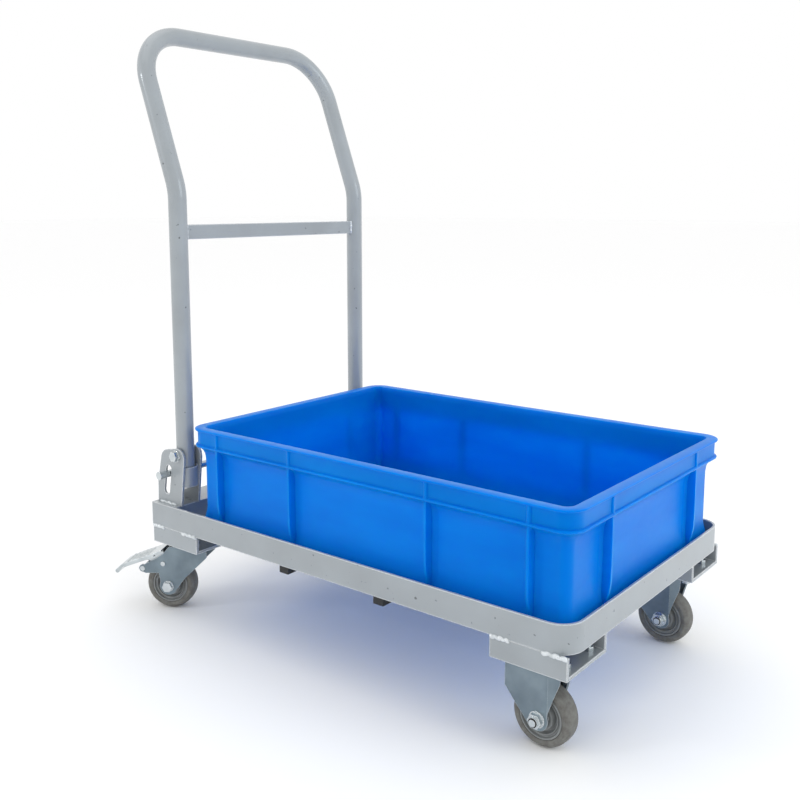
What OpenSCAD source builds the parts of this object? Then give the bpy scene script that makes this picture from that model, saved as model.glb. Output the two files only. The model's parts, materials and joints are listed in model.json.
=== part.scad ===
// Folding hand cart that carries one stacking crate.
// X runs along the cart with the handle at -X, Y across it, Z up from the floor.
// The origin is on the floor, at the centre of the footprint.

/* [Frame ring] */
// Length of the ring over its outside
ring_l = 668; // [640:1:720]
// Width of the ring over its outside
ring_w = 415; // [412:1:460]
// Height of the ring's underside above the floor
ring_z = 130; // [130:1:160]
// Height of the angle iron's upright leg
rail_h = 33; // [28:1:45]
// Width of the angle iron's flat leg
flange_w = 28; // [22:1:34]
// Thickness of the angle iron
rail_t = 3; // [2:0.5:4]
// Outside radius of the two bent front corners
corner_r = 28; // [20:1:40]
// Width of the rectangular tube across the handle end
cross_w = 50; // [44:1:60]
// Width of each brace under the ring
brace_w = 15; // [12:1:25]
// Height of each brace under the ring
brace_h = 12; // [8:1:14]

/* [Castor pads] */
// Length of each pad channel
pad_l = 93; // [86:1:100]
// Width of each pad channel
pad_w = 87; // [80:1:94]
// Thickness of the pad channel
pad_t = 4; // [3:0.5:5]

/* [Castors] */
// Radius of a wheel over its tread
wheel_r = 36; // [34:0.5:37]
// Width of the tread
tread_w = 26; // [22:1:28]
// Distance from the cart's middle line to each castor's centre
castor_y = 160; // [155:1:165]
// Distance from the ring's centre forward to the front axles
front_axle_x = 281; // [270:1:284]
// Distance from the ring's centre back to the swivel axes
swivel_x = 296; // [290:1:300]
// How far a swivelling wheel trails behind its swivel axis
trail = 38; // [34:1:40]
// Angle that each rear castor is turned outwards from straight back
castor_turn = 30; // [0:1:40]

/* [Handle] */
// Height of the top of the handle above the floor
handle_top = 830; // [760:5:900]
// Outside diameter of the handle tube
tube_d = 25; // [22:1:26]
// Distance from the cart's middle line to the centre of each leg
leg_y = 181.5; // [175:0.5:184]
// Distance from the ring's centre back to the legs
leg_x = 288.4; // [286:0.1:292]
// Height of the two hinge bolts above the floor
pivot_z = 234.5; // [230:0.5:240]
// Height of the bend where the handle starts to lean back
knee_z = 600; // [560:5:640]
// Angle that the upper handle leans back
lean = 20; // [0:1:25]
// Height of the crossbar's centre above the floor
crossbar_z = 544; // [480:1:560]
// Radius of the handle's two top bends
grip_bend_r = 74; // [50:1:90]

/* [Crate] */
// Length of the crate over its rim
crate_l = 592; // [560:1:592]
// Width of the crate over its rim
crate_w = 404; // [380:1:408]
// Height of the crate
crate_h = 148; // [120:1:180]
// Thickness of the crate's walls
crate_t = 3; // [2:0.5:4]
// Distance from the ring's centre forward to the crate's centre
crate_x = 37.5; // [30:0.5:37.5]

/* [Hidden] */
$fn = 48;
eps = 0.01;
near = -1;
far = 1;

// Colours
grey_paint = "#a9b4b9";
zinc = "#b9c2c6";
rubber = "#6f6a66";
hub_grey = "#8f9493";
crate_blue = "#0a8cf0";
black_plastic = "#202224";

// Frame
ring_top = ring_z + rail_h;
cross_x = -ring_l / 2 + cross_w / 2;
cross_t = 2.5;
brace_rear_x = -76;
brace_front_x = 79.5;
brace_l = ring_w - 14;
brace_t = 1.5;

// Castors, whose plates are bolted up against the pads
pad_h = 25;
pad_z = ring_z - pad_h;
pad_gap = 0.5;
pad_y = ring_w / 2 - pad_gap - pad_w / 2;
pad_front_x = ring_l / 2 - 3.5 - pad_l / 2;
pad_rear_x = -ring_l / 2 + 1 + pad_l / 2;
fixed_plate_l = 88;
swivel_plate_l = 74;
plate_w = 62;
plate_t = 3;
plate_z = pad_z - plate_t;
bolt_margin = 8;
bolt_y = 25;
bolt_r = 3;
bolt_hole_r = 3.3;
axle_r = 4;
axle_fit = 0.05;
fork_t = 2.5;
fork_inner = tread_w / 2 + 3.5;
fork_outer = fork_inner + fork_t;
hub_r = 26;
bearing_r = 11;
bearing_w = 7;
axle_half = fork_outer + 11;

// Swivel castor heights and brake pedal
fork_top_z = 95;
race_r = 17;
ball_r = 2.2;
ball_z = 98.3;
ball_count = 16;
kingpin_r = 5;
pedal_pivot = [45, 69.5];
pedal_stop = [76, 61];
pedal_reach = 116;
pedal_tip_z = 54;
pedal_tip_r = 3;
pedal_half_w = 17;

// Whole footprint, from the tips of the pedals to the front of the ring
pedal_back = (pedal_reach + pedal_tip_r) * cos(castor_turn) + pedal_half_w * sin(castor_turn);
rear_end = swivel_x + pedal_back;
shift_x = (rear_end - ring_l / 2) / 2;

// Handle
tube_r = tube_d / 2;
tube_wall = 1.5;
tube_below = 22.5;
knee_cut = round(80 * tan(lean / 2));
knee_r = lean > 0 ? knee_cut / tan(lean / 2) : 0;
lean_run = round((handle_top - tube_r - knee_z) / cos(lean));
bend_z = round(100 * (handle_top - tube_r - lean_run * cos(lean))) / 100;
hinge_bolt_r = 4;
ear_gap = tube_d + 2;
ear_t = 3;
ear_out = ear_gap / 2 + ear_t;

// Lock bar, which rests just behind the legs and slides down a leaning slot
lock_r = 5;
lock_x = -leg_x - tube_r - lock_r - 1;
lock_z = 206.5;
lock_lean = 9.4;
slot_up = 6.7;
slot_down = 24.9;
spring_r = 4.1;
spring_wire = 1.4;
lock_half_l = 212;

// Crate
crate_z = ring_z + rail_t;
rim_h = 24;
rim_inset = 14;
foot_inset = 6;
foot_h = 12;
crate_corner_r = 26;
fin_t = 3;
fin_out = rim_inset - 2;
fin_step_h = 36;
fin_places_long = [-240, -107, 107, 240];
fin_places_short = [-115, 115];

module placed() translate([shift_x, 0, 0]) children();

// Draws a near-side child, or its mirror image on the far side
module on_side(side) {
    if (side == near) children();
    else mirror([0, 1, 0]) children();
}

// Cylinder along Y from y0 to y1
module cyl_y(r, y0, y1) {
    translate([0, y1, 0]) rotate([90, 0, 0]) cylinder(r = r, h = y1 - y0);
}

// Hexagonal prism along Y from y0 to y1, af across its flats
module hex_y(af, y0, y1) {
    translate([0, y1, 0]) rotate([90, 0, 0]) cylinder(r = af / sqrt(3), h = y1 - y0, $fn = 6);
}

// Plate whose outline lies in the XZ plane, from y0 to y1
module plate_xz(y0, y1) {
    translate([0, y1, 0]) rotate([90, 0, 0]) linear_extrude(y1 - y0) children();
}

// Rectangle with round corners, centred, as a 2D outline
module round_rect(l, w, r) {
    square([l - 2 * r, w], center = true);
    square([l, w - 2 * r], center = true);
    for (x = [-1, 1], y = [-1, 1]) translate([x * (l / 2 - r), y * (w / 2 - r)]) circle(r = r);
}

// U outline of the ring: square at the handle end, round at the front
module ring_outline(inset) {
    l = ring_l - inset;
    w = ring_w - 2 * inset;
    r = max(corner_r - inset, 1);
    translate([-ring_l / 2, -w / 2]) square([l - r, w]);
    translate([-ring_l / 2, -w / 2 + r]) square([l, w - 2 * r]);
    for (y = [-1, 1]) translate([ring_l / 2 - inset - r, y * (w / 2 - r)]) circle(r = r);
}

// ---------------------------------------------------------------- frame

module ring_frame() color(grey_paint) placed() {
    difference() {
        translate([0, 0, ring_z]) linear_extrude(rail_h) ring_outline(0);
        translate([0, 0, ring_z - 1]) linear_extrude(rail_h + 2) ring_inner_cut();
    }
    difference() {
        translate([0, 0, ring_z]) linear_extrude(rail_t) ring_outline(rail_t / 2);
        translate([0, 0, ring_z - 1]) linear_extrude(rail_t + 2) ring_outline(flange_w);
        translate([-ring_l / 2 - 1, -ring_w, ring_z - 1])
            cube([cross_w + 1, 2 * ring_w, rail_t + 2]);
    }
}

module ring_inner_cut() {
    ring_outline(rail_t);
    translate([-ring_l / 2 - 1, -ring_w / 2 + rail_t]) square([10, ring_w - 2 * rail_t]);
}

module rear_cross_tube() color(grey_paint) placed() translate([cross_x, 0, ring_z]) {
    half = ring_w / 2 - rail_t;
    difference() {
        translate([-cross_w / 2, -half, 0]) cube([cross_w, 2 * half, rail_h]);
        translate([-cross_w / 2 + cross_t, -half - 1, cross_t])
            cube([cross_w - 2 * cross_t, 2 * half + 2, rail_h - 2 * cross_t]);
    }
}

module brace(x) color(black_plastic) placed() translate([x, 0, ring_z - brace_h]) {
    difference() {
        translate([-brace_w / 2, -brace_l / 2, 0]) cube([brace_w, brace_l, brace_h]);
        translate([-brace_w / 2 + brace_t, -brace_l / 2 - 1, brace_t])
            cube([brace_w - 2 * brace_t, brace_l + 2, brace_h - 2 * brace_t]);
    }
}
module rear_brace() brace(brace_rear_x);
module front_brace() brace(brace_front_x);

module brace_end_caps() color(black_plastic) placed() {
    for (x = [brace_rear_x, brace_front_x], side = [near, far]) on_side(side) {
        translate([x, 0, ring_z - brace_h]) {
            translate([-brace_w / 2, -brace_l / 2 - 1.5, 0]) cube([brace_w, 1.5, brace_h]);
            translate([-brace_w / 2 + brace_t, -brace_l / 2, brace_t])
                cube([brace_w - 2 * brace_t, 10, brace_h - 2 * brace_t]);
        }
    }
}

// Channel with its web at the bottom, whose flanges meet the ring
module pad(x, castor_x, side) color(grey_paint) placed() on_side(side) {
    difference() {
        translate([x - pad_l / 2, -pad_y - pad_w / 2, pad_z]) cube([pad_l, pad_w, pad_h]);
        translate([x - pad_l / 2 - 1, -pad_y - pad_w / 2 + pad_t, pad_z + pad_t])
            cube([pad_l + 2, pad_w - 2 * pad_t, pad_h]);
        bolt_places(castor_x) translate([0, 0, pad_z - 1]) cylinder(r = bolt_hole_r, h = pad_t + 2);
        if (castor_x < 0)
            translate([castor_x, -castor_y, pad_z - 1]) cylinder(r = kingpin_r + 5, h = pad_t + 2);
    }
}
module pad_rear_near() pad(pad_rear_x, -swivel_x, near);
module pad_rear_far() pad(pad_rear_x, -swivel_x, far);
module pad_front_near() pad(pad_front_x, front_axle_x, near);
module pad_front_far() pad(pad_front_x, front_axle_x, far);

// The four bolt centres of a castor plate on the near side
module bolt_places(castor_x) {
    bolt_x = (castor_x > 0 ? fixed_plate_l : swivel_plate_l) / 2 - bolt_margin;
    for (x = [-bolt_x, bolt_x], y = [-bolt_y, bolt_y]) translate([castor_x + x, y - castor_y, 0]) children();
}

// Top plate of a castor, of length l, with its four bolt holes
module castor_plate(l) difference() {
    translate([-l / 2, -plate_w / 2, plate_z]) cube([l, plate_w, plate_t]);
    for (x = [-1, 1], y = [-bolt_y, bolt_y]) translate([x * (l / 2 - bolt_margin), y, plate_z - 1])
        cylinder(r = bolt_hole_r, h = plate_t + 2);
}

module all_bolts() {
    for (x = [-swivel_x, front_axle_x], side = [near, far]) on_side(side) bolt_places(x) children();
}

module castor_bolts() color(zinc) placed() all_bolts() {
    translate([0, 0, plate_z - 4]) cylinder(r = 10 / sqrt(3), h = 4, $fn = 6);
    translate([0, 0, plate_z - eps]) cylinder(r = bolt_r, h = plate_t + pad_t + 8);
}

module castor_nuts() color(zinc) placed() all_bolts() translate([0, 0, pad_z + pad_t]) difference() {
    cylinder(r = 10 / sqrt(3), h = 5, $fn = 6);
    translate([0, 0, -1]) cylinder(r = bolt_r + 0.01, h = 7);
}

// ---------------------------------------------------------------- hinge

// Outline of a bracket ear, in X and Z measured from the leg's centre line
module ear_outline() {
    hull() {
        translate([1.5, pivot_z - 4]) circle(r = 14.5, $fn = 32);
        translate([-18, pivot_z - 9]) circle(r = 16, $fn = 32);
        translate([-43, ring_top]) square([51, 1]);
        translate([-42, ring_top]) square([30, 29]);
    }
}

// Slot that the lock bar slides in, as an outline in X and Z
module slot_outline(r) {
    translate([lock_x, lock_z]) rotate(-lock_lean) {
        translate([0, slot_up]) circle(r = r);
        translate([0, -slot_down]) circle(r = r);
        translate([-r, -slot_down]) square([2 * r, slot_down + slot_up]);
    }
}

module hinge_bracket(side) color(grey_paint) placed() on_side(side) {
    difference() {
        for (y = [-ear_out, ear_gap / 2]) translate([0, -leg_y + y, 0])
            plate_xz(0, ear_t) difference() {
                translate([-leg_x, 0]) ear_outline();
                translate([-leg_x, pivot_z]) circle(r = hinge_bolt_r + axle_fit);
                slot_outline(lock_r + 0.8);
            }
    }
    // The bent web that wraps the front of the leg
    translate([-leg_x, -leg_y, 190]) intersection() {
        difference() {
            cylinder(r = ear_out, h = 28);
            translate([0, 0, -1]) cylinder(r = ear_gap / 2, h = 30);
        }
        translate([0, -ear_out - 1, 0]) cube([ear_out + 1, 2 * ear_out + 2, 28]);
    }
}
module hinge_bracket_near() hinge_bracket(near);
module hinge_bracket_far() hinge_bracket(far);

module pivot_bolts() color(zinc) placed() for (side = [near, far]) on_side(side)
    translate([-leg_x, -leg_y, pivot_z]) {
        cyl_y(hinge_bolt_r, -ear_out - 1.5, ear_out + 8);
        hex_y(13, -ear_out - 7, -ear_out - 1.5);
        cyl_y(8.5, -ear_out - 1.5, -ear_out);
    }

module pivot_nuts() color(zinc) placed() for (side = [near, far]) on_side(side)
    translate([-leg_x, -leg_y, pivot_z]) difference() {
        hex_y(13, ear_out, ear_out + 6.5);
        cyl_y(hinge_bolt_r + 0.01, ear_out - 1, ear_out + 8);
    }

module lock_bar() color(zinc) placed() translate([lock_x, 0, lock_z]) {
    cyl_y(lock_r, -lock_half_l, lock_half_l);
    for (side = [near, far]) on_side(side) {
        cyl_y(lock_r + 0.8, -lock_half_l - 3, -lock_half_l);
        cyl_y(lock_r + 0.8, -leg_y + ear_out + 1, -leg_y + ear_out + 3);
    }
}

// Space that each coil spring fills between the cross tube and the lock bar
module lock_springs() color(zinc) placed() for (side = [near, far]) on_side(side)
    translate([lock_x - 1, -leg_y, ring_top]) difference() {
        cylinder(r = spring_r, h = lock_z - lock_r - ring_top - 0.4);
        translate([0, 0, -1]) cylinder(r = spring_r - spring_wire, h = lock_z);
    }

// ---------------------------------------------------------------- handle

// Wall of the tube as a 2D ring
module tube_wall_2d() difference() {
    circle(r = tube_r);
    circle(r = tube_r - tube_wall);
}

// Half of the bent tube, from a leg's foot to the middle of the top bar
module tube_half() {
    foot_z = pivot_z - tube_below;
    translate([-leg_x, -leg_y, 0]) {
        translate([0, 0, foot_z]) linear_extrude(bend_z - knee_cut - foot_z) tube_wall_2d();
        if (lean > 0)
            translate([-knee_r, 0, bend_z - knee_cut]) rotate([90, 0, 0])
                rotate_extrude(angle = lean) translate([knee_r, 0]) tube_wall_2d();
        translate([0, 0, bend_z]) rotate([0, -lean, 0]) {
            translate([0, 0, knee_cut])
                linear_extrude(lean_run - grip_bend_r - knee_cut) tube_wall_2d();
            // Sleeve inside the tube, where the bend ends
            translate([0, 0, knee_cut - 1.5]) linear_extrude(3) difference() {
                circle(r = tube_r - tube_wall / 2);
                circle(r = tube_r - tube_wall - 0.4);
            }
            translate([0, grip_bend_r, lean_run - grip_bend_r]) rotate([90, 0, -90])
                rotate_extrude(angle = 90) translate([grip_bend_r, 0]) tube_wall_2d();
            translate([0, grip_bend_r, lean_run]) rotate([-90, 0, 0])
                linear_extrude(leg_y - grip_bend_r) tube_wall_2d();
        }
    }
}

module handle_tube() color(grey_paint) placed() difference() {
    for (side = [near, far]) on_side(side) tube_half();
    for (side = [near, far]) on_side(side)
        translate([-leg_x, -leg_y, pivot_z]) cyl_y(hinge_bolt_r + axle_fit, -tube_d, tube_d);
}

module handle_crossbar() color(grey_paint) placed() difference() {
    translate([-leg_x - 3, -leg_y, crossbar_z - 10]) cube([6, 2 * leg_y, 20]);
    for (side = [near, far]) on_side(side)
        translate([-leg_x, -leg_y, crossbar_z - 20]) cylinder(r = tube_r, h = 40);
}

// ---------------------------------------------------------------- crate

// Crate body of the given inset from the rim's outline
module crate_block(inset, z0, z1) {
    translate([crate_x, 0, crate_z + z0]) linear_extrude(z1 - z0)
        round_rect(crate_l - 2 * inset, crate_w - 2 * inset, crate_corner_r - inset / 2);
}

module crate() color(crate_blue) placed() difference() {
    union() {
        crate_block(0, crate_h - 3, crate_h);
        crate_block(2, crate_h - rim_h, crate_h - 3);
        crate_block(0, crate_h - rim_h, crate_h - rim_h + 3);
        crate_block(rim_inset, 0, crate_h - 1);
        crate_block(foot_inset, 0, foot_h);
        crate_ribs();
    }
    crate_block(rim_inset + crate_t, crate_t, crate_h + 1);
    // Hollow behind the rim's outer skirt
    difference() {
        crate_block(2 + crate_t, crate_h - rim_h - 1, crate_h - 3);
        crate_block(rim_inset, crate_h - rim_h - 2, crate_h - 2);
    }
    // Hollow under the foot
    difference() {
        crate_block(foot_inset + crate_t, -1, foot_h - 3);
        crate_block(rim_inset, -2, foot_h);
    }
}

// One upright fin against a wall that faces -Y; it is shallow where it stands inside the ring
module crate_fin() translate([-fin_t / 2, 0, crate_z]) {
    low_out = rim_inset - foot_inset;
    translate([0, -low_out, foot_h - 3]) cube([fin_t, low_out + 1, crate_h - rim_h - foot_h + 4]);
    translate([0, -fin_out, fin_step_h]) cube([fin_t, fin_out + 1, crate_h - rim_h - fin_step_h + 1]);
}

module crate_ribs() {
    for (x = fin_places_long, side = [near, far]) on_side(side)
        translate([crate_x + x, -crate_w / 2 + rim_inset, 0]) crate_fin();
    for (y = fin_places_short, turn = [-90, 90])
        translate([crate_x, 0, 0]) rotate([0, 0, turn])
            translate([y, -crate_l / 2 + rim_inset, 0]) crate_fin();
}

// ---------------------------------------------------------------- wheels

// Each wheel is drawn about an axle along Y through the origin
module wheel_tread() rotate([90, 0, 0]) rotate_extrude() {
    half = tread_w / 2;
    difference() {
        union() {
            translate([hub_r, -half + 1]) square([wheel_r - hub_r - 5, tread_w - 2]);
            translate([wheel_r - 6, -half + 6]) square([6, tread_w - 12]);
            for (s = [-1, 1]) translate([wheel_r - 6, s * (half - 6)]) circle(r = 6);
        }
        translate([-wheel_r, -half]) square([wheel_r + hub_r, tread_w]);
    }
}

module wheel_hub() rotate([90, 0, 0]) rotate_extrude() {
    half = tread_w / 2;
    // Rim, web and the boss that holds the bearings
    translate([hub_r - 4, -half + 1]) square([4, tread_w - 2]);
    translate([bearing_r, -3]) square([hub_r - bearing_r, 6]);
    difference() {
        translate([axle_r + 2, -half]) square([bearing_r + 4 - axle_r - 2, tread_w]);
        for (s = [-1, 1]) translate([0, s * (half - bearing_w / 2) - bearing_w / 2])
            square([bearing_r, bearing_w]);
    }
}

module wheel_bearings() {
    half = tread_w / 2;
    for (side = [near, far]) on_side(side) difference() {
        cyl_y(bearing_r, -half, -half + bearing_w);
        cyl_y(axle_r + axle_fit, -half - 1, -half + bearing_w + 1);
        // Grooves between the rings and the shield
        translate([0, -half + 0.6, 0]) difference() {
            cyl_y(9.2, -2, 0);
            cyl_y(6.4, -3, 1);
        }
    }
}

// Bolt with its head towards head_side, and washers between fork and bearings
module axle_bolt(head_side) on_side(head_side) {
    cyl_y(axle_r, -fork_outer - 1, axle_half);
    hex_y(13, -fork_outer - 6.3, -fork_outer - 1);
    cyl_y(8, -fork_outer - 1, -fork_outer);
    for (s = [near, far]) on_side(s) cyl_y(6.2, -fork_inner + 0.02, -tread_w / 2 - 0.4);
}

module axle_nut(head_side) on_side(head_side) difference() {
    union() {
        cyl_y(9.5, fork_outer, fork_outer + 1.2);
        hex_y(15, fork_outer, fork_outer + 7);
        cyl_y(5.8, fork_outer + 6.5, fork_outer + 9.5);
    }
    cyl_y(axle_r + 0.01, fork_outer - 1, fork_outer + 11);
}

// ---------------------------------------------------------------- fixed castors

module at_fixed(side) placed() on_side(side) translate([front_axle_x, -castor_y, 0]) children();
module at_fixed_axle(side) at_fixed(side) translate([0, 0, wheel_r]) children();

// Side cheek of the fixed fork, in X from the axle and Z from the floor
module fixed_cheek() difference() {
    union() {
        polygon([[-41, plate_z + 1], [-41, 63], [-27, 46], [-12, wheel_r - 7],
                 [12, wheel_r - 4], [12, plate_z + 1]]);
        translate([0, wheel_r]) circle(r = 13);
    }
    translate([0, wheel_r]) circle(r = axle_r + axle_fit);
}

module fixed_fork(side) color(zinc) at_fixed(side) {
    castor_plate(fixed_plate_l);
    translate([-10, -fork_outer, plate_z - 2]) cube([22, 2 * fork_outer, 2.5]);
    for (s = [near, far]) on_side(s) {
        plate_xz(-fork_outer, -fork_inner) intersection() {
            fixed_cheek();
            translate([-60, 0]) square([120, plate_z]);
        }
        // Front edge of the cheek, bent in towards the tread
        translate([12 - eps, -fork_outer, 0]) rotate([0, 0, 28]) plate_xz(0, fork_t)
            polygon([[0, wheel_r + 8], [6, 62], [9, 70], [13, 80], [14, plate_z - 0.5], [0, plate_z - 0.5]]);
    }
}
module fixed_fork_near() fixed_fork(near);
module fixed_fork_far() fixed_fork(far);
module fixed_tread_near() color(rubber) at_fixed_axle(near) wheel_tread();
module fixed_tread_far() color(rubber) at_fixed_axle(far) wheel_tread();
module fixed_hub_near() color(hub_grey) at_fixed_axle(near) wheel_hub();
module fixed_hub_far() color(hub_grey) at_fixed_axle(far) wheel_hub();
module fixed_bearings_near() color(zinc) at_fixed_axle(near) wheel_bearings();
module fixed_bearings_far() color(zinc) at_fixed_axle(far) wheel_bearings();
module fixed_axle_bolt_near() color(zinc) at_fixed_axle(near) axle_bolt(far);
module fixed_axle_bolt_far() color(zinc) at_fixed_axle(far) axle_bolt(near);
module fixed_axle_nut_near() color(zinc) at_fixed_axle(near) axle_nut(far);
module fixed_axle_nut_far() color(zinc) at_fixed_axle(far) axle_nut(near);

// ---------------------------------------------------------------- swivel castors

// Frame of a swivel castor: origin under the swivel axis, the wheel trails to -X
module at_swivel(side) placed() on_side(side)
    translate([-swivel_x, -castor_y, 0]) rotate([0, 0, castor_turn]) children();
module at_swivel_axle(side) at_swivel(side) translate([-trail, 0, wheel_r]) children();
module at_swivel_plate(side) placed() on_side(side) translate([-swivel_x, -castor_y, 0]) children();

module swivel_plate(side) color(zinc) at_swivel_plate(side) {
    difference() {
        castor_plate(swivel_plate_l);
        translate([0, 0, plate_z - 1]) cylinder(r = kingpin_r, h = plate_t + 2);
    }
    // Upper race and the skirt round the balls
    rotate_extrude() {
        translate([race_r - 4, ball_z + ball_r + 0.02]) square([8.5, plate_z - ball_z - ball_r]);
        translate([race_r + 3, ball_z - 1.3]) square([1.5, plate_z - ball_z + 1.3]);
    }
}

module swivel_balls(side) color(zinc) at_swivel_plate(side)
    for (i = [0 : ball_count - 1]) rotate([0, 0, i * 360 / ball_count])
        translate([race_r, 0, ball_z]) sphere(r = ball_r, $fn = 24);

module kingpin(side) color(zinc) at_swivel_plate(side) {
    translate([0, 0, fork_top_z - fork_t - 3.5]) cylinder(r = 9, h = 3.2);
    translate([0, 0, fork_top_z - fork_t - 2])
        cylinder(r = kingpin_r, h = plate_z + plate_t + 4 - fork_top_z);
}

// Cheek of the swivelling fork, trailing to -X, with a wing for the pedal
module swivel_cheek() mirror([1, 0]) difference() {
    union() {
        polygon([[-20, fork_top_z], [-20, 81], [13, 49], [29, 27], [47, 27], [50, 44], [52, 55],
                 [72, 54], [79, 57], [82, 62], [68, 70], [56, 76.5], [45, 84], [36, fork_top_z]]);
        translate([trail, wheel_r]) circle(r = 13);
        translate(pedal_stop) circle(r = 5.5);
    }
    translate([trail, wheel_r]) circle(r = axle_r + axle_fit);
    translate(pedal_pivot) circle(r = 2.5);
    translate(pedal_stop) circle(r = 2.5);
}

module swivel_fork(side) color(zinc) at_swivel(side) {
    difference() {
        union() {
            translate([0, 0, fork_top_z - fork_t]) cylinder(r = 24, h = fork_t);
            translate([-36, -fork_outer, fork_top_z - fork_t]) cube([56, 2 * fork_outer, fork_t]);
        }
        translate([0, 0, fork_top_z - fork_t - 1]) cylinder(r = kingpin_r + axle_fit, h = fork_t + 2);
    }
    // Lower race
    translate([0, 0, fork_top_z - eps]) difference() {
        cylinder(r = race_r + 2, h = ball_z - ball_r - fork_top_z - 0.05);
        translate([0, 0, -1]) cylinder(r = race_r - 4, h = 5);
    }
    for (s = [near, far]) on_side(s) plate_xz(-fork_outer, -fork_inner) swivel_cheek();
}

// Side view of the pedal's tread plate, trailing to -X, t thick
module pedal_plate_side(t) mirror([1, 0]) {
    polygon([[47, 90], [62, 83], [96, 70], [110, 63.5], [pedal_reach, pedal_tip_z + pedal_tip_r],
             [pedal_reach - 3, pedal_tip_z - 1], [107, 63.5 - t], [95, 70 - t], [61, 83 - t], [46, 90 - t]]);
}

// Plan of the pedal: wide at the fork, narrower at the tip, drawn in by inset
module pedal_plan(inset) mirror([1, 0]) {
    wide = 20 - inset;
    tip = pedal_half_w - inset;
    polygon([[40, -wide], [90, -wide], [pedal_reach - 2, -tip], [pedal_reach + 9, -tip],
             [pedal_reach + 9, tip], [pedal_reach - 2, tip], [90, wide], [40, wide]]);
}

module brake_pedal(side) color(zinc) at_swivel(side) {
    intersection() {
        plate_xz(-20, 20) pedal_plate_side(2.5);
        linear_extrude(200) pedal_plan(0);
    }
    // Turned-down edges along both sides
    difference() {
        intersection() {
            plate_xz(-20, 20) mirror([1, 0])
                polygon([[59, 82.4], [61, 81.7], [95, 68.7], [107, 62.3], [104, 60.4], [95, 64.5],
                         [61, 77.5], [59, 79]]);
            linear_extrude(200) pedal_plan(0);
        }
        translate([0, 0, -1]) linear_extrude(202) pedal_plan(2);
    }
    // Rolled edge at the tip
    translate([-pedal_reach, 0, pedal_tip_z]) cyl_y(pedal_tip_r, -pedal_half_w, pedal_half_w);
    // Ears inside the fork, on the two pivots
    for (s = [near, far]) on_side(s) plate_xz(-fork_inner + 0.4, -fork_inner + 2.4) mirror([1, 0])
        difference() {
            union() {
                translate(pedal_pivot) circle(r = 6);
                polygon([[39, 70], [46, 88.5], [62, 81.5], [80, 74.5], [66, 72], [50, 66]]);
            }
            translate(pedal_pivot) circle(r = 2.55);
        }
    // Ribs across the tread plate
    for (u = [70 : 6 : 100]) translate([-u, 0, 79.9 - (u - 70) * 0.384]) cyl_y(1.2, -15, 15);
    // Brake shoe over the tread
    plate_xz(-11, 11) mirror([1, 0]) polygon([[56, 85], [70, 79], [70, 66], [63, 66], [56, 72]]);
}

module pedal_pivots(side) color(zinc) at_swivel(side)
    translate([-pedal_pivot[0], 0, pedal_pivot[1]]) for (s = [near, far]) on_side(s) {
        cyl_y(2.5, -fork_outer - 0.5, -fork_inner + 2.6);
        cyl_y(3.4, -fork_outer - 1.2, -fork_outer);
    }

module pedal_stop_pin(side) color(zinc) at_swivel(side)
    translate([-pedal_stop[0], 0, pedal_stop[1]]) {
        cyl_y(2.5, -fork_outer - 0.5, fork_outer + 0.5);
        for (s = [near, far]) on_side(s) cyl_y(3.6, -fork_outer - 1.2, -fork_outer);
    }

module swivel_plate_near() swivel_plate(near);
module swivel_plate_far() swivel_plate(far);
module swivel_balls_near() swivel_balls(near);
module swivel_balls_far() swivel_balls(far);
module kingpin_near() kingpin(near);
module kingpin_far() kingpin(far);
module swivel_fork_near() swivel_fork(near);
module swivel_fork_far() swivel_fork(far);
module swivel_tread_near() color(rubber) at_swivel_axle(near) wheel_tread();
module swivel_tread_far() color(rubber) at_swivel_axle(far) wheel_tread();
module swivel_hub_near() color(hub_grey) at_swivel_axle(near) wheel_hub();
module swivel_hub_far() color(hub_grey) at_swivel_axle(far) wheel_hub();
module swivel_bearings_near() color(zinc) at_swivel_axle(near) wheel_bearings();
module swivel_bearings_far() color(zinc) at_swivel_axle(far) wheel_bearings();
module swivel_axle_bolt_near() color(zinc) at_swivel_axle(near) axle_bolt(near);
module swivel_axle_bolt_far() color(zinc) at_swivel_axle(far) axle_bolt(near);
module swivel_axle_nut_near() color(zinc) at_swivel_axle(near) axle_nut(near);
module swivel_axle_nut_far() color(zinc) at_swivel_axle(far) axle_nut(near);
module brake_pedal_near() brake_pedal(near);
module brake_pedal_far() brake_pedal(far);
module pedal_pivots_near() pedal_pivots(near);
module pedal_pivots_far() pedal_pivots(far);
module pedal_stop_pin_near() pedal_stop_pin(near);
module pedal_stop_pin_far() pedal_stop_pin(far);

// ---------------------------------------------------------------- drawing

ring_frame();
rear_cross_tube();
rear_brace();
front_brace();
brace_end_caps();
pad_rear_near();
pad_rear_far();
pad_front_near();
pad_front_far();
hinge_bracket_near();
hinge_bracket_far();
pivot_bolts();
pivot_nuts();
lock_bar();
lock_springs();
handle_tube();
handle_crossbar();
crate();
castor_bolts();
castor_nuts();
fixed_fork_near();
fixed_tread_near();
fixed_hub_near();
fixed_bearings_near();
fixed_axle_bolt_near();
fixed_axle_nut_near();
fixed_fork_far();
fixed_tread_far();
fixed_hub_far();
fixed_bearings_far();
fixed_axle_bolt_far();
fixed_axle_nut_far();
swivel_plate_near();
swivel_balls_near();
kingpin_near();
swivel_fork_near();
swivel_tread_near();
swivel_hub_near();
swivel_bearings_near();
swivel_axle_bolt_near();
swivel_axle_nut_near();
brake_pedal_near();
pedal_pivots_near();
pedal_stop_pin_near();
swivel_plate_far();
swivel_balls_far();
kingpin_far();
swivel_fork_far();
swivel_tread_far();
swivel_hub_far();
swivel_bearings_far();
swivel_axle_bolt_far();
swivel_axle_nut_far();
brake_pedal_far();
pedal_pivots_far();
pedal_stop_pin_far();
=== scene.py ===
import json
import math

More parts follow.
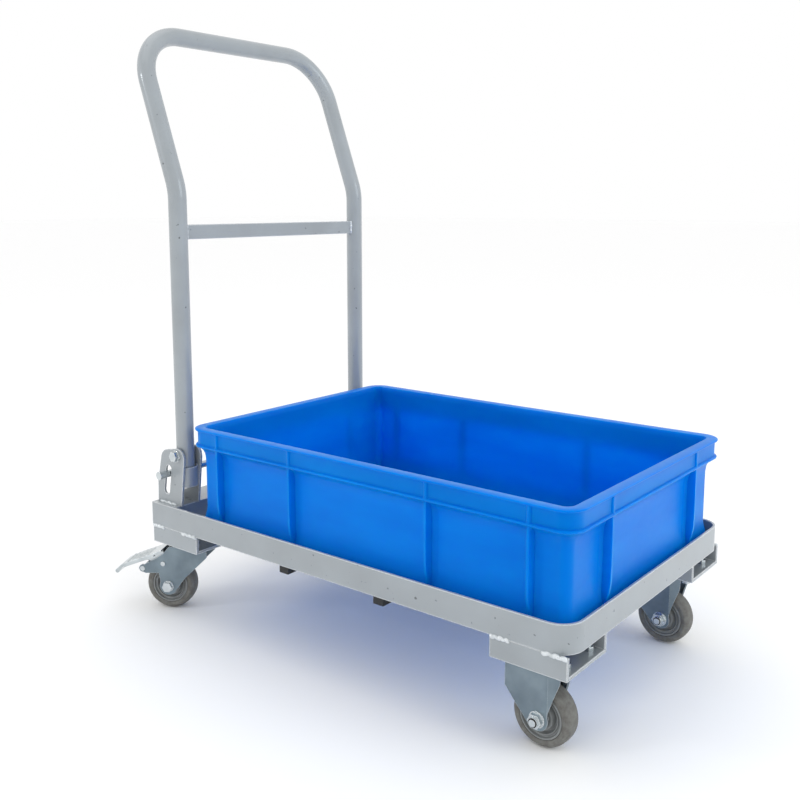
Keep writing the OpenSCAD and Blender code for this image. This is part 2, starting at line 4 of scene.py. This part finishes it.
import bmesh
import bpy
import mathutils
import numpy as np
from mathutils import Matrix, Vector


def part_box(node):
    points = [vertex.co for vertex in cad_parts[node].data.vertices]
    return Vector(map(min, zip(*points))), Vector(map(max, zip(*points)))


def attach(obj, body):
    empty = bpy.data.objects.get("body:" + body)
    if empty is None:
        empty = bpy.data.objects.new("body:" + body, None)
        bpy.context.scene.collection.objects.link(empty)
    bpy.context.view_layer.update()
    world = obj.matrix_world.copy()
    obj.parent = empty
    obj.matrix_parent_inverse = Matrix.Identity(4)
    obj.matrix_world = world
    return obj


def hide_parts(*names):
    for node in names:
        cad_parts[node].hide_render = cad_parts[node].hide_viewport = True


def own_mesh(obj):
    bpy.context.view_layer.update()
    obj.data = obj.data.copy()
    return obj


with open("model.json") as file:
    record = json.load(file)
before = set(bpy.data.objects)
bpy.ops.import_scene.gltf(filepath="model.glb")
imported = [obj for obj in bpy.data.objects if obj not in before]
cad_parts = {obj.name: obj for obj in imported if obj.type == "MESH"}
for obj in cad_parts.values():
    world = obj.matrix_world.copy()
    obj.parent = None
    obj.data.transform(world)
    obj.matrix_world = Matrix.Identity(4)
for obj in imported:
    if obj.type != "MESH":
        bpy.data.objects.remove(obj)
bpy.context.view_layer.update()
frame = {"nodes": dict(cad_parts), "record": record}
mm = 0.001
sides = {"near": -1, "far": 1}
joints = {joint["name"]: joint for joint in frame["record"]["behaviour"]["joints"]}


# ---------------------------------------------------------------- frame steel
# The ring is bent from angle iron, with a rectangular tube, folded pads and hinge brackets welded
# to it. All of it wears one coat of silver-grey paint, with small chips, and its edges are lightened nearly
# white as a painted highlight.

def linear(hex_colour):
    """Turns an sRGB hex colour into the linear colour that a shader takes."""
    parts = np.array([int(hex_colour[i : i + 2], 16) for i in (1, 3, 5)]) / 255
    light = np.where(parts <= 0.04045, parts / 12.92, ((parts + 0.055) / 1.055) ** 2.4)
    return (*light, 1.0)


def add(tree, kind, inputs, **settings):
    """Adds one shader node with its settings; an input is a value to set or a socket to link."""
    made = tree.nodes.new(kind)
    for name, value in settings.items():
        setattr(made, name, value)
    for name, value in inputs.items():
        if isinstance(value, bpy.types.NodeSocket):
            tree.links.new(value, made.inputs[name])
        else:
            made.inputs[name].default_value = value
    return made


def finish(name, **constants):
    """Starts a material: its tree, its shader with the constants set, and the object's coordinates."""
    made = bpy.data.materials.new(name)
    made.use_nodes = True
    tree = made.node_tree
    shader = tree.nodes["Principled BSDF"]
    for key, value in constants.items():
        shader.inputs[key.replace("_", " ")].default_value = value
    place = tree.nodes.new("ShaderNodeTexCoord").outputs["Object"]
    return made, tree, shader, place


def two_tones(tree, noise, low, high):
    """Turns noise into colour: one tone up to a place, another from a second, a straight blend between."""
    ramp = add(tree, "ShaderNodeValToRGB", {"Fac": noise.outputs["Fac"]})
    for stop, (position, hex_colour) in zip(ramp.color_ramp.elements, (low, high)):
        stop.position = position
        stop.color = linear(hex_colour)
    return ramp


def soften_and_highlight_edges(tree, shader, flat_colour, radius, starts, full, highlight_colour):
    """Softens the edges and lightens them with a painted highlight as the softened normal's cosine with the
    flat one falls.
    """
    edge = add(tree, "ShaderNodeBevel", {"Radius": radius})
    cosine = add(tree, "ShaderNodeVectorMath", {"Vector": edge.outputs["Normal"]}, operation="DOT_PRODUCT")
    tree.links.new(tree.nodes.new("ShaderNodeNewGeometry").outputs["Normal"], cosine.inputs[1])
    edge_highlight_mask = add(tree, "ShaderNodeMapRange", {"Value": cosine.outputs["Value"], "From Min": starts,
                 "From Max": full})
    edge_highlighted = add(tree, "ShaderNodeMixRGB", {"Fac": edge_highlight_mask.outputs["Result"], "Color1": flat_colour,
                "Color2": linear(highlight_colour)})
    tree.links.new(edge_highlighted.outputs["Color"], shader.inputs["Base Color"])
    return edge.outputs["Normal"]


def wear(node_name, surface):
    """Gives a CAD node its material."""
    piece = frame["nodes"][node_name]
    piece.data.materials.clear()
    piece.data.materials.append(surface)


# Sprayed silver-grey enamel: slightly mottled, with a fine orange-peel skin 2 mm across
frame_paint, tree, shader, place = finish("silver_grey_enamel", Metallic=0.1, IOR=1.5, Coat_Weight=0.7,
                                          Coat_Roughness=0.12)
cloud = add(tree, "ShaderNodeTexNoise", {"Vector": place, "Scale": 14.0, "Detail": 3.0, "Roughness": 0.5})
tone = two_tones(tree, cloud, (0.3, "#92989C"), (0.72, "#9CA3A8"))
specks = add(tree, "ShaderNodeTexNoise", {"Vector": place, "Scale": 150.0, "Detail": 2.0})
chips = add(tree, "ShaderNodeMapRange", {"Value": specks.outputs["Fac"], "From Min": 0.72, "From Max": 0.76})
mixed = add(tree, "ShaderNodeMixRGB", {"Fac": chips.outputs["Result"], "Color1": tone.outputs["Color"],
            "Color2": linear("#5D6366")})
gloss = add(tree, "ShaderNodeMapRange", {"Value": cloud.outputs["Fac"], "To Min": 0.33, "To Max": 0.5})
tree.links.new(gloss.outputs["Result"], shader.inputs["Roughness"])
# The enamel's edges are lightened nearly white as a painted highlight
soft_normal = soften_and_highlight_edges(tree, shader, mixed.outputs["Color"], 2.2 * mm, 0.99, 0.92, "#EEF2F4")
peel = add(tree, "ShaderNodeTexNoise", {"Vector": place, "Scale": 500.0, "Detail": 2.0})
skin = add(tree, "ShaderNodeBump", {"Height": peel.outputs["Fac"], "Strength": 0.12, "Distance": 0.4 * mm,
           "Normal": soft_normal})
tree.links.new(skin.outputs["Normal"], shader.inputs["Normal"])

for name in ("ring_frame", "rear_cross_tube", "handle_crossbar"):
    wear(name, frame_paint)
for side in sides:
    for name in ("pad_rear", "pad_front", "hinge_bracket"):
        wear(f"{name}_{side}", frame_paint)


# ---------------------------------------------------------------- braces
# Two flat black tubes lie across the ring's underside, closed by moulded black caps. The paint is
# thin and dull, and the caps have the even grain of injection-moulded plastic.

black_paint, tree, shader, place = finish("dull_black_paint", IOR=1.5)
cloud = add(tree, "ShaderNodeTexNoise", {"Vector": place, "Scale": 60.0, "Detail": 3.0})
tone = two_tones(tree, cloud, (0.0, "#0E0F10"), (1.0, "#202224"))
gloss = add(tree, "ShaderNodeMapRange", {"Value": cloud.outputs["Fac"], "To Min": 0.4, "To Max": 0.65})
edge = add(tree, "ShaderNodeBevel", {"Radius": 0.8 * mm})
tree.links.new(tone.outputs["Color"], shader.inputs["Base Color"])
tree.links.new(gloss.outputs["Result"], shader.inputs["Roughness"])
tree.links.new(edge.outputs["Normal"], shader.inputs["Normal"])
for name in ("rear_brace", "front_brace", "brace_end_caps"):
    wear(name, black_paint)


# ---------------------------------------------------------------- bright steel
# Bolts, nuts, rivets, pins and the lock bar are zinc plated, bright and a little cloudy. The forks,
# top plates and pedals are pressed from sheet and have a darker blue-grey plating.

def plated(name, dark, light, grain_scale, smooth, rough):
    """Zinc plate with a painted highlight lightening its edges; tone and gloss wander over patches of 1 /
    grain_scale metres.
    """
    surface, tree, shader, place = finish(name, Metallic=0.85)
    cloud = add(tree, "ShaderNodeTexNoise", {"Vector": place, "Scale": grain_scale, "Detail": 4.0})
    tone = two_tones(tree, cloud, (0.3, dark), (0.7, light))
    gloss = add(tree, "ShaderNodeMapRange", {"Value": cloud.outputs["Fac"], "To Min": smooth,
                "To Max": rough})
    # The plate's edges are lightened nearly white as a painted highlight
    soft_normal = soften_and_highlight_edges(tree, shader, tone.outputs["Color"], 0.8 * mm, 0.985, 0.86, "#EEF1F2")
    tree.links.new(gloss.outputs["Result"], shader.inputs["Roughness"])
    tree.links.new(soft_normal, shader.inputs["Normal"])
    return surface


bright_zinc = plated("bright_zinc", "#B2B9BC", "#D2D8DA", 45.0, 0.16, 0.3)
fork_zinc = plated("blue_grey_zinc", "#6C7982", "#86949C", 32.0, 0.28, 0.44)
for name in ("pivot_bolts", "pivot_nuts", "lock_bar", "castor_bolts", "castor_nuts"):
    wear(name, bright_zinc)
for side in sides:
    for name in ("fixed_axle_bolt", "fixed_axle_nut", "fixed_bearings", "swivel_axle_bolt",
                 "swivel_axle_nut", "swivel_bearings", "pedal_pivots", "pedal_stop_pin", "kingpin",
                 "swivel_balls", "brake_pedal"):
        wear(f"{name}_{side}", bright_zinc)
    for name in ("fixed_fork", "swivel_fork", "swivel_plate"):
        wear(f"{name}_{side}", fork_zinc)


# ---------------------------------------------------------------- handle
# One steel tube, 25 mm across, bent at the knees and again at the two top corners. It is painted
# with the frame, is open at its two feet, and turns on the hinge bolts.

def surface_grid(name, points, around, along, smooth_angle=40.0):
    """Makes a mesh of a grid of points; each flag joins the grid's last row or column to its first."""
    rows, columns = points.shape[:2]
    r = np.arange(rows if around else rows - 1)[:, None]
    c = np.arange(columns if along else columns - 1)[None, :]
    r2, c2 = (r + 1) % rows, (c + 1) % columns
    corners = [a * columns + b + 0 * (r + c) for a, b in ((r, c), (r2, c), (r2, c2), (r, c2))]
    faces = np.stack(corners, axis=-1).reshape(-1, 4)
    mesh = bpy.data.meshes.new(name)
    mesh.from_pydata(points.reshape(-1, 3).tolist(), [], faces.tolist())
    return place_mesh(name, mesh, smooth_angle)


def place_mesh(name, mesh, smooth_angle):
    """Points a mesh's faces outwards, smooths its shallow edges and puts it in the scene."""
    work = bmesh.new()
    work.from_mesh(mesh)
    bmesh.ops.remove_doubles(work, verts=work.verts, dist=1e-6)
    bmesh.ops.recalc_face_normals(work, faces=work.faces)
    work.to_mesh(mesh)
    work.free()
    mesh.shade_smooth()
    mesh.set_sharp_from_angle(angle=math.radians(smooth_angle))
    piece = bpy.data.objects.new(name, mesh)
    bpy.context.scene.collection.objects.link(piece)
    return piece


def arc(centre, start, end, degrees, steps):
    """Points from the centre plus start, turning towards end, both given as arms of the arc."""
    turn = np.radians(np.linspace(0, degrees, steps))[:, None]
    return np.array(centre) + np.cos(turn) * np.array(start) + np.sin(turn) * np.array(end)


def sweep(path, radii, sections, side_arm):
    """Carries a circle along a path: each ring lies square to the path and starts beside side_arm."""
    along = np.gradient(path, axis=0)
    along /= np.linalg.norm(along, axis=1, keepdims=True)
    first = np.cross(along, side_arm)
    first /= np.linalg.norm(first, axis=1, keepdims=True)
    second = np.cross(along, first)
    turn = np.linspace(0, 2 * np.pi, sections, endpoint=False)[None, :, None]
    rings = np.cos(turn) * first[:, None] + np.sin(turn) * second[:, None]
    return path[:, None] + np.asarray(radii)[:, None, None] * rings


handle_lo, handle_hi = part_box("handle_tube")
tube_r = 12.5 * mm
tube_wall = 1.5 * mm
leg_y = 181.5 * mm
leg_x = handle_hi[0] - tube_r
foot_z = handle_lo[2]
lean = math.radians(20)
up = np.array([-math.sin(lean), 0, math.cos(lean)])
out = np.array([math.cos(lean), 0, math.sin(lean)])
lean_run = 231 * mm
knee_cut = 14 * mm
knee_r = knee_cut / math.tan(lean / 2)
knee_z = handle_hi[2] - tube_r - lean_run * math.cos(lean)
grip_r = 74 * mm

leg_foot = np.array([leg_x, -leg_y, foot_z])
knee = np.array([leg_x, -leg_y, knee_z])
straight = np.linspace(leg_foot, knee - [0, 0, knee_cut], 24, endpoint=False)
bend = arc(knee - [knee_r, 0, knee_cut], [knee_r, 0, 0], [0, 0, knee_r], 20, 9)
slope = np.linspace(bend[-1], knee + up * (lean_run - grip_r), 8, endpoint=False)[1:]
corner = arc(knee + up * (lean_run - grip_r) + [0, grip_r, 0], [0, -grip_r, 0], up * grip_r, 90, 22)
top = np.linspace(corner[-1], knee + up * lean_run + [0, leg_y, 0], 8)[1:]
half = np.concatenate([straight, bend, slope, corner, top])
run = np.concatenate([half, half[-2::-1] * [1, -1, 1]])
outer = sweep(run, np.full(len(run), tube_r), 40, [1, 0, 0])
inner = sweep(run, np.full(len(run), tube_r - tube_wall), 40, [1, 0, 0])[::-1]
handle = surface_grid("handle_bent_tube", np.concatenate([outer, inner]), True, True, 50)
handle.data.materials.append(frame_paint)
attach(handle, "handle")
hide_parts("handle_tube")


# ---------------------------------------------------------------- weld beads
# Short fillet welds join the crossbar to the legs, the brackets to the cross tube and the pads to
# the ring. Each is a rippled ridge of filler metal, painted over with the rest.

# Weld metal under the enamel, coloured lighter than the flat steel as a painted highlight along the ridges,
# glossier, with sooty specks
weld_highlight_paint, tree, shader, place = finish("painted_weld_highlight", Metallic=0.3, IOR=1.5)
soot = add(tree, "ShaderNodeTexNoise", {"Vector": place, "Scale": 110.0, "Detail": 2.0})
tone = two_tones(tree, soot, (0.34, "#BEC4C7"), (0.5, "#D8DDE0"))
gloss = add(tree, "ShaderNodeMapRange", {"Value": soot.outputs["Fac"], "To Min": 0.4, "To Max": 0.2})
tree.links.new(tone.outputs["Color"], shader.inputs["Base Color"])
tree.links.new(gloss.outputs["Result"], shader.inputs["Roughness"])


def bead(name, start, end, body, hand, radius=2.4 * mm, ripple=4.0 * mm):
    """A weld ridge: a circle carried from start to end, swelling once a ripple and closed at its ends.

    A sine of the run moves it up and down, a cosine thickens it, and hand shifts both on the far side.
    """
    wander, wander_turn, swell_turn = 0.5 * mm, 23, 17
    start, end = np.array(start), np.array(end)
    length = np.linalg.norm(end - start)
    t = np.linspace(0, 1, max(12, int(length / ripple * 8)))
    wobble = wander * np.sin(wander_turn * t + 5 * hand)
    path = start + (end - start) * t[:, None] + wobble[:, None] * [0, 0, 1]
    rippled = 0.05 * np.cos(2 * np.pi * t * round(length / ripple))
    swell = radius * (0.84 + rippled + 0.11 * np.cos(swell_turn * t + 9 * hand))
    ends = np.sqrt(np.clip(1 - np.abs(2 * t - 1) ** 16, 0, 1))
    lean_out = [0.31, 0.52, 0.79]
    made = surface_grid(name, sweep(path, swell * ends + 1e-5, 10, lean_out), False, True, 80)
    made.data.materials.append(weld_highlight_paint)
    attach(made, body)


bar_lo, bar_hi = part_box("handle_crossbar")
for side, s in sides.items():
    bar_end = s * (leg_y - tube_r + 0.6 * mm)
    for face, x in (("back", bar_lo[0]), ("front", bar_hi[0])):
        bead(f"crossbar_weld_{face}_{side}", (x, bar_end, bar_lo[2]), (x, bar_end, bar_hi[2]), "handle", s)
    ears_lo, ears_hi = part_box(f"hinge_bracket_{side}")
    outer_y, inner_y = (ears_lo[1], ears_hi[1]) if s < 0 else (ears_hi[1], ears_lo[1])
    for face, y in (("outer", outer_y), ("inner", inner_y)):
        bead(f"bracket_weld_{face}_{side}", (ears_lo[0] + 5 * mm, y, ears_lo[2] + 0.5 * mm),
             (ears_lo[0] + 40 * mm, y, ears_lo[2] + 0.5 * mm), "frame", s)
    for end in ("rear", "front"):
        pad_lo, pad_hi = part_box(f"pad_{end}_{side}")
        y = pad_lo[1] if s < 0 else pad_hi[1]
        for n, (a, b) in enumerate(((0.0, 0.27), (0.67, 1.0))):
            x0 = pad_lo[0] + a * (pad_hi[0] - pad_lo[0])
            x1 = pad_lo[0] + b * (pad_hi[0] - pad_lo[0])
            z = pad_hi[2] - 0.8 * mm
            bead(f"pad_weld_{end}_{n}_{side}", (x0, y, z), (x1, y, z), "frame", s, 2.9 * mm)


# ---------------------------------------------------------------- lock springs
# Two coil springs push the lock bar up its slots. They are wound from bright spring wire and stand
# on the cross tube between the ears of each bracket.

spring_lo, spring_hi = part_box("lock_springs")
spring_r = 3.4 * mm
wire_r = 0.7 * mm
turns = 7
spring_steel = plated("spring_wire", "#8F9698", "#C4CACC", 200.0, 0.25, 0.4)
for side, s in sides.items():
    turn = np.linspace(0, 2 * np.pi * turns, turns * 24)
    rise = np.linspace(spring_lo[2] + wire_r, spring_hi[2] - wire_r, len(turn))
    coil = np.stack([(spring_lo[0] + spring_hi[0]) / 2 + spring_r * np.cos(turn),
                     s * leg_y + spring_r * np.sin(turn), rise], axis=1)
    ends = np.where((np.arange(len(turn)) == 0) | (np.arange(len(turn)) == len(turn) - 1), 0.02, 1.0)
    spring = surface_grid(f"lock_spring_{side}", sweep(coil, wire_r * ends, 8, [0, 0, 1]), False, True, 80)
    spring.data.materials.append(spring_steel)
    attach(spring, "frame")
    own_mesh(spring)
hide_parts("lock_springs")


# ---------------------------------------------------------------- wheels
# Each wheel is a grey rubber tread moulded on a hard grey core with rings turned into its face. The
# front wheels stand straight, the rear ones trail at the angle that their forks are turned to.

def turned(name, profile, centre, axis, sections=96):
    """Turns a closed profile of (radius, offset) pairs about an axle through the wheel's centre."""
    axis = np.array(axis) / np.linalg.norm(axis)
    upright = np.array([0.0, 0.0, 1.0])
    level = np.cross(axis, upright)
    turn = np.linspace(0, 2 * np.pi, sections, endpoint=False)[:, None, None]
    radius = np.array(profile)[None, :, :1]
    offset = np.array(profile)[None, :, 1:]
    spoke = np.cos(turn) * upright + np.sin(turn) * level
    return surface_grid(name, np.array(centre) + radius * spoke + offset * axis, True, True, 35)


def rounded_profile(points, radius, steps=5):
    """Rounds each corner of a closed profile with a curve that starts a radius away from it."""
    points = np.array(points, dtype=float)
    made = []
    for before, here, after in zip(np.roll(points, 1, 0), points, np.roll(points, -1, 0)):
        cut = min(radius, np.linalg.norm(before - here) * 0.45, np.linalg.norm(after - here) * 0.45)
        a = here + (before - here) / np.linalg.norm(before - here) * cut
        b = here + (after - here) / np.linalg.norm(after - here) * cut
        t = np.linspace(0, 1, steps)[:, None]
        made.append((1 - t) ** 2 * a + 2 * t * (1 - t) * here + t ** 2 * b)
    return np.concatenate(made)


# Grey-brown rubber: dull, dusty where it rolls, with marks of 6 mm and a fine grain
tread_rubber, tree, shader, place = finish("grey_brown_rubber", IOR=1.5, Specular_IOR_Level=0.35)
dust = add(tree, "ShaderNodeTexNoise", {"Vector": place, "Scale": 160.0, "Detail": 5.0, "Roughness": 0.65})
tone = two_tones(tree, dust, (0.3, "#5D5A56"), (0.72, "#7B7C78"))
gloss = add(tree, "ShaderNodeMapRange", {"Value": dust.outputs["Fac"], "To Min": 0.45, "To Max": 0.75})
grain = add(tree, "ShaderNodeBump", {"Height": dust.outputs["Fac"], "Strength": 0.15, "Distance": 0.4 * mm})
tree.links.new(tone.outputs["Color"], shader.inputs["Base Color"])
tree.links.new(gloss.outputs["Result"], shader.inputs["Roughness"])
tree.links.new(grain.outputs["Normal"], shader.inputs["Normal"])

# Hard grey polypropylene core: even, with a soft sheen and faint flow marks
hub_plastic, tree, shader, place = finish("grey_polypropylene_core", IOR=1.49)
flow = add(tree, "ShaderNodeTexNoise", {"Vector": place, "Scale": 70.0, "Detail": 3.0})
tone = two_tones(tree, flow, (0.0, "#6E7172"), (1.0, "#8E9191"))
gloss = add(tree, "ShaderNodeMapRange", {"Value": flow.outputs["Fac"], "To Min": 0.32, "To Max": 0.5})
tree.links.new(tone.outputs["Color"], shader.inputs["Base Color"])
tree.links.new(gloss.outputs["Result"], shader.inputs["Roughness"])

wheel_r = 36 * mm
half_w = 13 * mm
core_r = 26 * mm
boss_r = 15 * mm
tread_outline = [(core_r, -half_w + 1 * mm), (core_r + 3 * mm, -half_w + 0.2 * mm),
                 (wheel_r - 4.5 * mm, -half_w), (wheel_r - 0.5 * mm, -half_w * 0.62), (wheel_r, 0),
                 (wheel_r - 0.5 * mm, half_w * 0.62), (wheel_r - 4.5 * mm, half_w),
                 (core_r + 3 * mm, half_w - 0.2 * mm), (core_r, half_w - 1 * mm)]
# The core's face, from the tread inwards: radius, and distance from the wheel's middle in mm
face = [(core_r - 0.1 * mm, 11.8), (core_r - 2.2 * mm, 12.2), (core_r - 2.8 * mm, 9.0),
        (core_r - 4.6 * mm, 8.6), (core_r - 5.2 * mm, 10.6), (core_r - 6.4 * mm, 10.6),
        (core_r - 7.4 * mm, 5.5), (boss_r + 1 * mm, 5.0), (boss_r, 12.6), (11.1 * mm, 12.9),
        (11.1 * mm, 6.2)]
core_outline = [(r, -w * mm) for r, w in face] + [(r, w * mm) for r, w in face[::-1]]
tread_profile = rounded_profile(tread_outline, 2.5 * mm)
core_profile = rounded_profile(core_outline, 0.5 * mm, 3)
wheels = [("fixed", "front_wheel", "front_wheel_spin"), ("swivel", "rear_wheel", "rear_wheel_spin")]
for kind, body, joint in wheels:
    for side in sides:
        spin = joints[f"{joint}_{side}"]
        tread = turned(f"{kind}_tread_moulded_{side}", tread_profile, spin["pos_m"], spin["axis"])
        tread.data.materials.append(tread_rubber)
        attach(tread, f"{body}_{side}")
        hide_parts(f"{kind}_tread_{side}")
        core = turned(f"{kind}_core_moulded_{side}", core_profile, spin["pos_m"], spin["axis"])
        core.data.materials.append(hub_plastic)
        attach(core, f"{body}_{side}")
        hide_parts(f"{kind}_hub_{side}")


# Black nylon ring pressed into the end of each front axle nut, which grips the bolt's thread
nylon_section = np.array([(4.1, -0.25), (5.3, -0.25), (5.3, 0.3), (4.1, 0.3)]) * mm
for side in sides:
    nut_lo, nut_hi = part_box(f"fixed_axle_nut_{side}")
    nut_end = ((nut_lo[0] + nut_hi[0]) / 2, nut_lo[1], (nut_lo[2] + nut_hi[2]) / 2)
    nylon = turned(f"nut_nylon_ring_{side}", nylon_section, nut_end, (0, 1, 0), 48)
    nylon.data.materials.append(black_paint)
    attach(nylon, "frame")


# ---------------------------------------------------------------- crate
# A stacking crate moulded in blue polypropylene: thin walls that lean in a little, a rim band with a
# flange above and a lip below, upright fins outside, and a foot that flares out onto the ring.

def smooth_step(value, low, high):
    """Rises from 0 at low to 1 at high along a cubic."""
    t = np.clip((value - low) / (high - low), 0, 1)
    return t * t * (3 - 2 * t)


crate_lo, crate_hi = np.array(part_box("crate"))
crate_mid = (crate_lo + crate_hi) / 2
half_l, half_b = (crate_hi - crate_lo)[:2] / 2
corner_r = 26 * mm
wall_bow = 2.0 * mm
long_fins = np.array([-240, -107, 107, 240]) * mm
short_fins = np.array([-115, 115]) * mm
fin_steps = np.array([-9, -5, -3, -1.8, -1.4, 0, 1.4, 1.8, 3, 5, 9]) * mm


def side_run(half_length, fins):
    """Places along one straight side: one every 9 mm, and close ones across each fin."""
    even = np.linspace(-half_length + corner_r, half_length - corner_r, int(2 * half_length / (9 * mm)))
    return np.unique(np.round(np.concatenate([even, (fins[:, None] + fin_steps).ravel()]), 6))


def fin_height(u, fins):
    """1 on a fin's thin crest, falling steeply and then gently to 0 at 9 mm from it."""
    gap = np.min(np.abs(u[:, None] - fins), axis=1)
    return 1 - 0.8 * smooth_step(gap, 1.4 * mm, 3 * mm) - 0.2 * smooth_step(gap, 3 * mm, 9 * mm)


# The outline runs anticlockwise: near side, front, far side, rear, with a round corner after each
outline, normals, fin_mask = [], [], []
straights = ((half_l, half_b, long_fins), (half_b, half_l, short_fins)) * 2
for number, (half_length, half_depth, fins) in enumerate(straights):
    quarter = number * np.pi / 2
    turn = np.array([[np.cos(quarter), np.sin(quarter)], [-np.sin(quarter), np.cos(quarter)]])
    u = side_run(half_length, fins)
    bow = wall_bow * (1 - (u / half_length) ** 2) if number % 2 == 0 else 0 * u
    outline.append(np.stack([u, -half_depth + bow], axis=1) @ turn)
    normals.append(np.tile([[0.0, -1.0]], (len(u), 1)) @ turn)
    fin_mask.append(fin_height(u, fins))
    bend_angle = np.radians(np.linspace(-90, 0, 12)[1:-1])
    arm = np.stack([np.cos(bend_angle), np.sin(bend_angle)], axis=1)
    outline.append((np.array([half_length - corner_r, -half_depth + corner_r]) + corner_r * arm) @ turn)
    normals.append(arm @ turn)
    fin_mask.append(np.zeros(len(arm)))
outline, normals, fin_mask = (np.concatenate(part) for part in (outline, normals, fin_mask))

# Rows from the foot up the outside, over the rim and down inside: inset, height, inset on a fin
rows = np.array([
    (9.5, 0, 9.5), (7.4, 0.3, 7.4), (6.2, 1.8, 6.2), (6, 5, 6), (6.2, 9, 6.2), (7.6, 12, 6.8),
    (10, 20, 7), (12.8, 30, 6), (14, 36, 4), (14, 48, 2.2), (14, 70, 1.6), (14, 92, 1.6),
    (13.8, 104, 1.6), (12.8, 111, 1.6), (10.4, 116.5, 1.6), (6.6, 120.3, 1.6), (3, 122, 1.6),
    (1.3, 122.6, 1.2), (0.6, 124, 0.6), (1.2, 125.4, 1), (3.4, 126.4, 1.4), (3.8, 128, 1.4),
    (3.8, 135, 1.4), (3.6, 142.5, 1.4), (3, 144.2, 1.4), (1, 144.8, 1), (0.2, 146, 0.2),
    (0.5, 147.4, 0.5), (1.8, 148, 1.8), (7, 148, 7), (12.6, 148, 12.6), (14.2, 147.5, 14.2),
    (15, 146, 15), (15.6, 138, 15.6), (16.4, 90, 16.4), (17.2, 30, 17.2), (17.6, 9, 17.6),
    (18.6, 5, 18.6), (21, 3.3, 21), (25, 3, 25)]) * mm
inset = rows[:, :1] + (rows[:, 2:] - rows[:, :1]) * fin_mask[None, :]
flat = outline[None] - inset[..., None] * normals[None]
height = np.broadcast_to(rows[:, 1:2] + crate_lo[2], inset.shape)
shell = np.concatenate([flat + crate_mid[:2], height[..., None]], axis=2)
count = shell.shape[1]
row, column = np.arange(len(shell) - 1)[:, None], np.arange(count)[None, :]
following = (column + 1) % count
walls = np.stack([row * count + column, row * count + following, (row + 1) * count + following,
                  (row + 1) * count + column], axis=-1).reshape(-1, 4).tolist()
underside = list(range(count))[::-1]
floor_face = list(range((len(shell) - 1) * count, len(shell) * count))
crate_mesh = bpy.data.meshes.new("crate_moulded")
crate_mesh.from_pydata(shell.reshape(-1, 3).tolist(), [], walls + [underside, floor_face])
crate = place_mesh("crate_moulded", crate_mesh, 38)

# Blue polypropylene: clear strong colour, satin, slightly wavy from the mould, with light scuffs
crate_plastic, tree, shader, place = finish("blue_polypropylene", IOR=1.49, Specular_IOR_Level=0.2,
                                             Specular_Tint=linear("#5CC8FF"), Subsurface_Weight=0.75,
                                             Subsurface_Radius=(0.15, 0.55, 1.0), Subsurface_Scale=14 * mm)
stretched = add(tree, "ShaderNodeMapping", {"Vector": place, "Scale": (1.0, 1.0, 3.0)})
cloud = add(tree, "ShaderNodeTexNoise", {"Vector": stretched.outputs["Vector"], "Scale": 9.0, "Detail": 3.0})
tone = two_tones(tree, cloud, (0.3, "#0070CA"), (0.7, "#007BD4"))
scuff = add(tree, "ShaderNodeTexNoise", {"Vector": place, "Scale": 130.0, "Detail": 5.0, "Roughness": 0.7})
gloss = add(tree, "ShaderNodeMapRange", {"Value": scuff.outputs["Fac"], "To Min": 0.28, "To Max": 0.46})
wave = add(tree, "ShaderNodeBump", {"Height": cloud.outputs["Fac"], "Strength": 0.2, "Distance": 2.0 * mm})
tree.links.new(tone.outputs["Color"], shader.inputs["Base Color"])
tree.links.new(gloss.outputs["Result"], shader.inputs["Roughness"])
tree.links.new(wave.outputs["Normal"], shader.inputs["Normal"])
crate.data.materials.append(crate_plastic)
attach(crate, "crate")
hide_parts("crate")


# ---------------------------------------------------------------- studio
# A white floor that runs out of sight, a bright even sky, two large soft lamps and a small one. The
# camera looks down a little from the near front corner through a slightly shifted lens.

floor_mesh = bpy.data.meshes.new("floor")
reach = 30.0
floor_corners = [(-reach, -reach, 0), (reach, -reach, 0), (reach, reach, 0), (-reach, reach, 0)]
floor_mesh.from_pydata(floor_corners, [], [(0, 1, 2, 3)])
floor = bpy.data.objects.new("floor", floor_mesh)
bpy.context.scene.collection.objects.link(floor)
floor_white, tree, shader, place = finish("floor_white", Roughness=0.9, Specular_IOR_Level=0.1)
shader.inputs["Base Color"].default_value = linear("#FEFEFE")
floor.data.materials.append(floor_white)

sky = bpy.data.worlds.new("studio")
sky.use_nodes = True
sky.node_tree.nodes["Background"].inputs["Color"].default_value = linear("#FFFFFF")
sky.node_tree.nodes["Background"].inputs["Strength"].default_value = 1.0
bpy.context.scene.world = sky
bpy.context.scene.view_settings.view_transform = "Standard"


def lamp(name, place, aim, size, power, colour):
    """A large square lamp at a place, facing the point that it is aimed at, with a linear colour."""
    light = bpy.data.lights.new(name, "AREA")
    light.size = size
    light.energy = power
    light.color = colour
    made = bpy.data.objects.new(name, light)
    made.location = place
    direction = mathutils.Vector(aim) - mathutils.Vector(place)
    made.rotation_euler = direction.to_track_quat("-Z", "Y").to_euler()
    bpy.context.scene.collection.objects.link(made)


lamp("front_lamp", (2.6, 0.5, 1.6), (0, 0, 0.3), 1.4, 16, (0.84, 0.94, 1.0))
lamp("side_lamp", (-1.6, -2.4, 1.6), (-0.25, 0, 0.6), 0.35, 8, (0.92, 0.97, 1.0))
lamp("top_lamp", (-0.3, -0.2, 2.6), (0, 0, 0.3), 2.0, 6, (1.0, 1.0, 1.0))

# The eye stands this far from the ring's centre, which is ahead of the origin by ring_shift
ring_lo, ring_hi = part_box("ring_frame")
ring_shift = (ring_lo[0] + ring_hi[0]) / 2
eye = bpy.data.cameras.new("camera")
eye.sensor_width = 36
eye.lens = 43.07
eye.shift_y = -0.075
eye.clip_start = 0.05
camera = bpy.data.objects.new("camera", eye)
camera.location = (0.7607 + ring_shift, -1.0199, 0.5832)
camera.rotation_euler = (math.radians(90 - 8.14), 0, math.radians(38.41))
bpy.context.scene.collection.objects.link(camera)
bpy.context.scene.camera = camera
